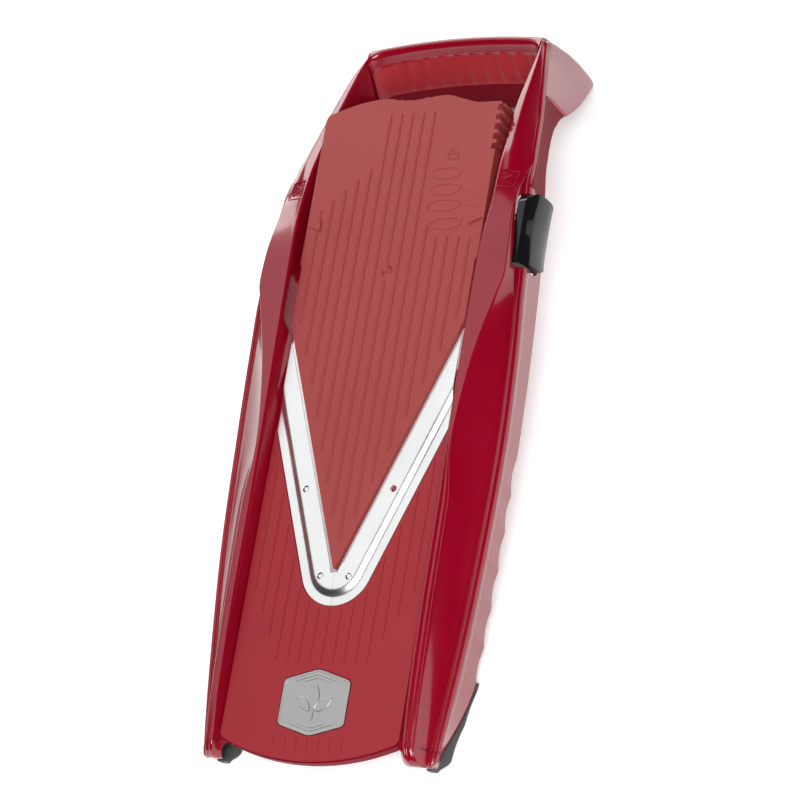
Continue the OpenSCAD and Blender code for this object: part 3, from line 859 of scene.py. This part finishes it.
def emblem():
    """A plain sprig of three leaves over a stem."""
    middle = (BADGE_TOP + BADGE_BOTTOM) / 2
    low, high = middle - 8.5, middle - 3
    stem = rounded([(-0.5, low), (0.5, low), (0.5, high), (-0.5, high)], 0.3)
    shapes = [lens_ring((0, middle + 2.5), 12, 4.6, 90), lens_ring((-5.4, middle - 0.6), 10.5, 4.2, 138),
              lens_ring((5.4, middle - 0.6), 10.5, 4.2, 42), stem]
    return [bevelled(prism("leaf", s, -0.3, 0.28), 0.16, 2) for s in shapes]


def chevron(inset, reach, side):
    """A thin raised line that follows two edges of the hexagon."""
    middle = (BADGE_TOP + BADGE_BOTTOM) / 2
    slope = BADGE_SHOULDER / BADGE_HALF
    tip = side * (BADGE_TOP - middle - inset)
    line = [(-reach, tip - side * slope * reach), (0, tip), (reach, tip - side * slope * reach)]
    ring = [(x, middle + y + 0.22) for x, y in line] + [(x, middle + y - 0.22) for x, y in reversed(line)]
    return bevelled(prism("chevron", ring, -0.2, 0.16), 0.08, 1)


def badge_plate():
    plate = prism("badge", badge_ring(-0.05, 2.2), -0.98, 0.05)
    combine(plate, prism("field", badge_ring(-0.9, 1.8), -0.06, 2))
    bevelled(plate, 0.16, 3)
    lines = [chevron(i, r, side) for side in (1, -1) for i, r in ((2.4, 11.5), (3.9, 7.0))]
    badge = joined("badge_plate_pressed", [plate] + lines + emblem())
    settle(badge, BADGE_STEEL, "frame", ["badge_plate"], sharp=50)


# --------------------------------------------------
# Blades
# --------------------------------------------------

BAND_HIGH = 1.4
RIM_LOW = -0.28
SHEET = 0.6
STUDS = [(23.4, 40.2), (7.5, -1.8)]
STUD_HOLE_R = 1.65


def blade_curve(inset, count=40):
    """A line along the right blade at a distance in from its outer edge, from the seam to the side."""
    x_side = RUNWAY_HALF - 1.3
    seam = 0.05
    edge = BAND - inset
    if edge < 0.05:
        end = v_line_y(x_side)
        flat = [(mix(seam, V_TIP, t), 0.0) for t in np.linspace(0, 1, 17)]
        return flat + [(v_half(y), y) for y in np.linspace(0, end, count - 16)[1:]]
    radius = NOSE_R - inset
    touch = -math.degrees(math.atan(V_SLOPE))
    first = -90 + math.degrees(math.asin(seam / radius))
    turn = arc((0, NOSE_Y), radius, first, touch, 17)
    start = turn[-1][1]
    end = v_line_y(x_side, edge)
    return turn + [(v_half(y, edge), y) for y in np.linspace(start, end, count - 16)[1:]]


def blade_height(inset):
    return mix(RIM_LOW, BAND_HIGH, ramp(inset, 3.7, 7.7))


def right_blade():
    insets = [0, 0.5, 2.6, 3.7, 4.3, 5.0, 5.7, 6.4, 7.0, 7.7, 8.6, 11, 13.4, 15.2, BAND]
    rings = [[(x, y, blade_height(i)) for x, y in blade_curve(i)] for i in insets]
    sheet = loft("right_blade_sheet", rings, closed=False, caps=False)
    m = sheet.modifiers.new("thickness", "SOLIDIFY")
    m.thickness = SHEET
    m.offset = -1
    applied(sheet)
    outward(sheet)
    for x, y in STUDS:
        combine(sheet, prism("hole", arc((x, y), STUD_HOLE_R, 0, 354, 40), -4, 6))
    return bevelled(sheet, 0.06, 2, 50)


def stud(x, y):
    """A staked head, flush in its hole."""
    profile = [(0.8, 0.92), (1.3, 0.75), (1.58, 0.45), (1.58, -0.8)]
    rings = [[(x + r * math.cos(a), y + r * math.sin(a), z) for a in np.radians(np.arange(0, 360, 12))]
             for r, z in profile]
    return loft("stud", rings)


def blades():
    right = right_blade()
    left = mirrored(right, "left_blade_sheet")
    settle(right, BLADE_STEEL, "frame", ["right_blade"], sharp=40)
    settle(left, BLADE_STEEL, "frame", ["left_blade"], sharp=40)
    heads = joined("blade_stud_heads", [stud(s * x, y) for s in (-1, 1) for x, y in STUDS])
    settle(heads, BLADE_STEEL, "frame", ["blade_studs"])
    heads.data.materials.append(GLOSS_RED)
    red_place = FLAT @ Vector((*STUDS[0], 0))
    for face in heads.data.polygons:
        if (face.center - red_place).length < 4 * MM:
            face.material_index = 1


# --------------------------------------------------
# Sliding insert
# --------------------------------------------------

INSERT_TOP = 2.9
INSERT_HALF = 48.0
INSERT_RIB = (1.7, 0.5)
DIMPLE = (0.8, 147.5)
NOTCHES, RACK_Y, RACK_PITCH, NOTCH_W, NOTCH_DEPTH = 5, 229.0, 5.0, 3.0, 2.3


def pull_edge():
    """The gripping edge: two soft bulges with fine teeth between them."""
    y_at = curve([(-48, 230), (-38, 233.4), (-28, 236), (-17, 237.3), (-8, 236.4), (-1, 235.9), (8, 236.8),
                  (17, 237.2), (26, 234.8), (36, 232.2), (48, 232)])
    points = []
    for x in np.arange(-48, 48.01, 1.0):
        teeth = 0.55 * (1 - ((x + 10.5) / 4.4 % 1)) if -10.5 < x < 11.5 else 0.0
        points.append((float(x), y_at(x) - teeth))
    return points


def insert_outline():
    tip = 1.5

    def side(s):
        return [(s * v_half(tip, -2), tip), (s * (INSERT_HALF - 1.2), v_line_y(INSERT_HALF - 1.2, -2)),
                (s * (INSERT_HALF - 1.1), 151), (s * INSERT_HALF, 153)]

    right = side(1) + [(INSERT_HALF, RACK_Y + 1.6)]
    left = [(-INSERT_HALF, 228)] + list(reversed(side(-1)))
    return right + list(reversed(pull_edge()[1:-1])) + left


def insert_ribs():
    """Ribs from the V's edges up. On the right they stop below the slice marks."""
    ribs = []
    top_right = {3: 170.0, 4: 164.0, 5: 164.6, 6: 164.0, 7: 163.0}
    for k in range(-OUTER_RIB, OUTER_RIB + 1):
        low = 15.0 if k == 0 else 26.1 + 16.1 * (abs(k) - 1)
        high = 201.0 + 5 * (k + 3) if k < -2 else top_right.get(k, 229.0)
        if k == 0:
            ribs.append(rib(0, low, DIMPLE[1] - 4.3, INSERT_TOP, *INSERT_RIB))
            low = DIMPLE[1] + 4.1
        ribs.append(rib(k * RIB_PITCH, low, high, INSERT_TOP, *INSERT_RIB))
    return ribs


def ring_line(centre, length, width, thick, height):
    """A raised outline of a flat oval, as a closed tube of half-round section."""
    steps = 48
    rings = []
    for k in range(steps):
        a = 2 * math.pi * k / steps
        x, y = math.cos(a), math.sin(a)
        p = Vector((length / 2 * np.sign(x) * abs(x) ** 0.9, width / 2 * np.sign(y) * abs(y) ** 0.9))
        n = Vector((math.cos(a) * width, math.sin(a) * length)).normalized()
        x, y = centre[0] + p.x, centre[1] + p.y
        rings.append([(x + n.x * thick * d, y + n.y * thick * d, INSERT_TOP + height * h)
                      for d, h in ((-0.5, -0.6), (-0.35, 0.7), (0, 1), (0.35, 0.7), (0.5, -0.6))])
    rings.append(rings[0])
    return loft("oval", rings, caps=False)


def bar(a, b, width, height):
    """A thin raised line between two places on the insert."""
    a, b = Vector(a), Vector(b)
    side = Vector((-(b - a).y, (b - a).x)).normalized() * width / 2
    line = prism("bar", strip(a, b, side), INSERT_TOP - 0.15, INSERT_TOP + height)
    return bevelled(line, min(width, height) * 0.3, 1)


def slice_marks():
    """Pointed ovals, thicker for each setting, with lines that lead to the edge."""
    things = []
    places = [((23.8, 196.4), 1.2), ((24.7, 188.1), 2.2), ((25.5, 179.9), 3.4), ((28.0, 170.6), 4.6)]
    for n, ((x, y), thick) in enumerate(places):
        things.append(ring_line((x, y), 15.6, 5.6, 0.75, 0.26))
        if n > 0:
            things.append(bar((x - 8.6, y + 1.0), (x - 8.6, y + 1.0 - thick), 0.6, 0.22))
            things.append(bar((x + 8.2, y + 1.8), (x + 8.2, y + 1.8 - thick * 0.8), 0.6, 0.22))
    for x, y, end in ((33.2, 203.0, 192.3), (33.2, 196.6, 186.4), (33.6, 188.0, 182.0), (34.2, 180.6, 177.5)):
        things.append(bar((x, y), (INSERT_HALF - 0.6, end), 0.45, 0.12))
    return things


def closed_mark():
    """A plain padlock outline beside the closed setting."""
    x, y = 25.8, 205.6
    body = rounded([(x - 3.2, y - 2.2), (x + 3.2, y - 2.2), (x + 3.2, y + 1.4), (x - 3.2, y + 1.4)], 0.5, 3)
    hole = [(px * 0.72 + x * 0.28, py * 0.6 + (y - 0.4) * 0.4) for px, py in body]
    box = prism("lock", body, INSERT_TOP - 0.15, INSERT_TOP + 0.24)
    combine(box, prism("lock_hole", hole, 0, 9))
    outer = arc((x, y + 1.4), 2.3, 0, 180, 16)
    inner = arc((x, y + 1.4), 1.6, 180, 0, 16)
    bow = prism("lock_bow", outer + inner, INSERT_TOP - 0.15, INSERT_TOP + 0.24)
    return [box, bow]


def side_arrow(sign):
    ring = [(sign * 47.4, 172.6), (sign * 40.4, 169.4), (sign * 40.4, 175.8)]
    return bevelled(prism("arrow", ring, INSERT_TOP - 0.2, INSERT_TOP + 0.8), 0.14, 2)


def dimple():
    """A round dish with a small point in it."""
    profile = [(3.1, 2.0), (3.0, -0.02), (2.5, -0.5), (1.8, -0.9), (1.1, -1.05), (0.6, -0.7), (0.15, -0.55)]
    rings = [[(DIMPLE[0] + r * math.cos(a), DIMPLE[1] + r * math.sin(a), INSERT_TOP + z)
              for a in np.radians(np.arange(0, 360, 10))] for r, z in profile]
    return loft("dimple", rings)


def sliding_insert():
    plate = prism("insert_plate", insert_outline(), INSERT_TOP - 3, INSERT_TOP)
    x, clear = INSERT_HALF - NOTCH_DEPTH, INSERT_HALF + 12
    for k in range(NOTCHES):
        low, high = (RACK_Y - k * RACK_PITCH + side * NOTCH_W / 2 for side in (-1, 1))
        ring = rounded([(x, low), (clear, low), (clear, high), (x, high)], 0.5, 3)
        combine(plate, prism("notch", ring, -5, 9))
    bevelled(plate, 0.3, 3)
    combine(plate, dimple())
    marks = insert_ribs() + slice_marks() + closed_mark() + [side_arrow(1), side_arrow(-1)]
    insert = joined("insert_plate", [plate] + marks)
    settle(insert, INSERT_RED, "insert", ["slide_insert"], sharp=50)


# --------------------------------------------------
# Button and feet
# --------------------------------------------------

BUTTON_Y = (149.8, 185.0)


def push_button():
    """A cap with a hollowed face, folded over the upper edge of the side wall."""
    y0, y1 = BUTTON_Y
    profile = [(64.6, 2.6), (68.4, 2.5), (70.4, 1.1), (72.7, -1.6), (73.4, -3.0), (73.7, -8), (73.7, -12),
               (73.0, -16.6), (71.4, -19.2), (68, -20), (64.6, -20)]
    rings = []
    for y in np.arange(y0 - 1, y1 + 1.01, (y1 - y0 + 2) / 24):
        dish = math.sin(math.pi * min(1, max(0, (y - y0) / (y1 - y0)))) ** 1.5
        rings.append([(x - dish * ramp(x, 70.5, 73), y, z) for x, z in profile])
    cap = loft("button_cap", rings)
    ends = [(y0, 3), (y0, -13), (y0 + 3.5, -18), (y0 + 8.5, -21), (y1 - 4, -21), (y1, -15.5), (y1, -1),
            (y1 - 5, 3)]
    side = rounded(ends, 2.0, 4)
    combine(cap, loft("ends", [[(x, y, z) for y, z in side] for x in (60, 80)]), "INTERSECT")
    bevelled(cap, 0.35, 3, 28)
    settle(cap, BLACK, "latch", ["push_button"], sharp=30)


FOOT_FRONT, FOOT_BACK = -85.5, -41.0


def right_foot():
    """A soft foot along the lower front corner of the side wall, with a wavy sole."""
    rings = []
    for y in np.linspace(FOOT_FRONT, FOOT_BACK, 46):
        near = 1 - ramp(y, FOOT_FRONT, FOOT_FRONT + 9)
        far = ramp(y, FOOT_BACK - 12, FOOT_BACK)
        xb = bottom_x(max(y, RAIL_FRONT)) - 1.5 * (1 - ramp(y, FOOT_FRONT, FOOT_FRONT + 7))
        zb = bottom_z(y) + 0.6
        sole = table_height(y) + 0.05 + 5.5 * near ** 2 + scallop(y, 1.2) * (1 - far)
        sole = min(sole, zb - 0.6)
        thick = mix(7.5, 3.0, far) * (1 - 0.35 * near)
        outline = [(xb + 0.2, zb), (xb + 0.4, mix(zb, sole, 0.3)), (xb + 0.1, mix(zb, sole, 0.7)),
                   (xb - 0.8, mix(zb, sole, 0.95)), (xb - 2.0, sole), (xb - thick + 1.6, sole),
                   (xb - thick + 0.4, mix(zb, sole, 0.92)), (xb - thick, mix(zb, sole, 0.6)),
                   (xb - thick, zb)]
        rings.append([(px, y, pz) for px, pz in soften(outline, 2)])
    return loft("right_foot_pad", rings)


def feet():
    right = right_foot()
    left = mirrored(right, "left_foot_pad")
    settle(right, RUBBER, "frame", ["right_foot"])
    settle(left, RUBBER, "frame", ["left_foot"])


# --------------------------------------------------
# Latch spring: a real coil in place of its plain outer form
# --------------------------------------------------

def latch_spring():
    turns, radius, wire, steps = 5, 2.0, 0.28, 24
    low, high = 51.3, 55.9
    rings = []
    for k in range(turns * steps + 1):
        a = 2 * math.pi * k / steps
        x = mix(low + wire, high - wire, k / (turns * steps))
        centre = Vector((x, 180 + radius * math.cos(a), -16 + radius * math.sin(a)))
        out, along = Vector((0, math.cos(a), math.sin(a))), Vector((1, 0, 0))
        rings.append([tuple(centre + wire * (math.cos(b) * out + math.sin(b) * along))
                      for b in np.radians(np.arange(0, 360, 45))])
    coil = loft("latch_spring_coil", rings)
    settle(coil, PIN_STEEL, "frame", ["latch_spring"])
    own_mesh(coil)


# --------------------------------------------------
# CAD nodes that keep their own shape
# --------------------------------------------------

KEPT = {"front_cross_rib": GLOSS_RED, "rear_cross_rib": GLOSS_RED, "left_guide": GLOSS_RED,
        "right_guide": GLOSS_RED, "spring_post": GLOSS_RED, "left_skirt": INSERT_RED,
        "right_skirt": INSERT_RED, "guide_lugs": INSERT_RED, "latch_lever": NYLON, "latch_leaf": NYLON,
        "lever_pin": PIN_STEEL, "pin_clip": PIN_STEEL}


def dress_kept_nodes():
    for name, material in KEPT.items():
        node = frame["nodes"][name]
        node.data.materials.clear()
        node.data.materials.append(material)
        m = node.modifiers.new("edge", "BEVEL")
        m.width = 0.2 * MM
        m.segments = 2
        m.limit_method = "ANGLE"


# --------------------------------------------------
# Floor, lights and camera
# --------------------------------------------------

AIM = Vector((18.0, 83.8, 0.0))
AZIMUTH, ELEVATION, ROLL = 49.99, 49.29, 43.2
DISTANCE, LENS = 1.5202, 148.5
FLOOR_HALF = 3.0
LIGHT_AIM = (0, 0, 0.04)


def floor():
    corners = [(x * FLOOR_HALF, y * FLOOR_HALF, 0) for x, y in ((-1, -1), (1, -1), (1, 1), (-1, 1))]
    mesh = bpy.data.meshes.new("floor")
    mesh.from_pydata(corners, [], [(0, 1, 2, 3)])
    thing = added("floor", mesh)
    f = Finish("floor_white", (0.9, 0.9, 0.9), 0.6)
    tone = f.blend(f.spread(f.noise(3.0), 0, 1), (0.88, 0.88, 0.88), (0.91, 0.91, 0.91))
    f.link(tone, f.shader.inputs["Base Color"])
    f.set("Emission Color", (1, 1, 1, 1))
    f.set("Emission Strength", 0.3)
    mesh.materials.append(f.material)


def soft_light(name, place, size, power):
    data = bpy.data.lights.new(name, "AREA")
    data.shape = "RECTANGLE"
    data.size, data.size_y = size
    data.energy = power
    lamp = added(name, data)
    lamp.location = place
    lamp.rotation_mode = "QUATERNION"
    lamp.rotation_quaternion = (Vector(LIGHT_AIM) - Vector(place)).to_track_quat("-Z", "Y")


def sky():
    """A pale horizon under a dark ceiling."""
    world = bpy.data.worlds.new("studio")
    world.use_nodes = True
    tree = world.node_tree
    place = tree.nodes.new("ShaderNodeTexCoord")
    split = tree.nodes.new("ShaderNodeSeparateXYZ")
    fade = tree.nodes.new("ShaderNodeMapRange")
    for key, value in (("From Min", 0.15), ("From Max", 0.5), ("To Min", 1.0), ("To Max", 0.06)):
        fade.inputs[key].default_value = value
    tree.links.new(place.outputs["Generated"], split.inputs["Vector"])
    tree.links.new(split.outputs["Z"], fade.inputs["Value"])
    tree.links.new(fade.outputs["Result"], tree.nodes["Background"].inputs["Strength"])
    bpy.context.scene.world = world


def lights():
    soft_light("overhead", (-0.95, 0.42, 1.72), (1.9, 1.9), 12.5)
    soft_light("behind", (-1.0, 1.52, 0.84), (1.5, 1.1), 26)
    soft_light("front", (1.1, -1.25, 1.85), (1.4, 1.4), 74)
    sky()


def camera():
    a, e = math.radians(AZIMUTH), math.radians(ELEVATION)
    back = Vector((math.sin(a) * math.cos(e), -math.cos(a) * math.cos(e), math.sin(e)))
    data = bpy.data.cameras.new("camera")
    data.sensor_width = 36
    data.lens = LENS
    data.clip_end = 20
    cam = added("camera", data)
    cam.location = FLAT @ AIM + back * DISTANCE
    right = Vector((math.cos(a), math.sin(a), 0))
    up = back.cross(right)
    r = math.radians(ROLL)
    x, y = right * math.cos(r) - up * math.sin(r), right * math.sin(r) + up * math.cos(r)
    cam.rotation_mode = "QUATERNION"
    cam.rotation_quaternion = Matrix((x, y, back)).transposed().to_quaternion()
    bpy.context.scene.camera = cam


bpy.context.scene.view_settings.view_transform = "Standard"
side_rails()
handle_grip()
runway_deck()
badge_plate()
blades()
sliding_insert()
push_button()
feet()
latch_spring()
dress_kept_nodes()
floor()
lights()
camera()
